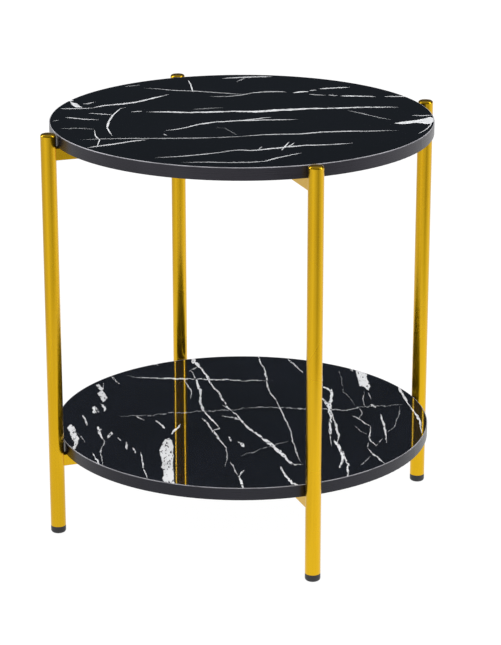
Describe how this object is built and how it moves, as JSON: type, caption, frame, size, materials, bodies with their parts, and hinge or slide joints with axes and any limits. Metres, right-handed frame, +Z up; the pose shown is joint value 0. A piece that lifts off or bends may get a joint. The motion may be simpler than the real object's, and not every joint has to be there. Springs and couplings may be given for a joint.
{
  "type": "tiered side table",
  "caption": "Round side table with a glossy marble-look top and a matching lower shelf on upright gold tube legs, for things kept beside a seat.",
  "frame": {"origin": "on the floor under the middle of the table", "axes": "+Z up, -Y to the front; the legs stand on the diagonals between X and Y"},
  "size_m": [0.4499, 0.45, 0.492],
  "materials": {
    "marble_sheet": "high-gloss black marble print",
    "edge_band": "satin dark grey",
    "backing_sheet": "matt black, fine texture",
    "mdf": "raw fibreboard",
    "gold": "polished gold plating on steel",
    "black_plastic": "moulded, satin black",
    "zinc_steel": "bright zinc plating"
  },
  "bodies": {
    "root": {"top_core": "mdf", "top_face": "marble_sheet", "top_backing": "backing_sheet", "top_edge_band": "edge_band", "shelf_core": "mdf", "shelf_face": "marble_sheet", "shelf_backing": "backing_sheet", "shelf_edge_band": "edge_band", "upper_bar_front_left": "gold", "upper_bar_front_right": "gold", "lower_bar_front_left": "gold", "lower_bar_front_right": "gold", "upper_bolts": "zinc_steel", "lower_bolts": "zinc_steel", "upper_inserts": "zinc_steel", "lower_inserts": "zinc_steel", "leg_back_right": "gold", "leg_back_left": "gold", "leg_front_left": "gold", "leg_front_right": "gold", "leg_cap_back_right": "gold", "leg_cap_back_left": "gold", "leg_cap_front_left": "gold", "leg_cap_front_right": "gold", "foot_back_right": "black_plastic", "foot_back_left": "black_plastic", "foot_front_left": "black_plastic", "foot_front_right": "black_plastic"}
  },
  "joints": []
}
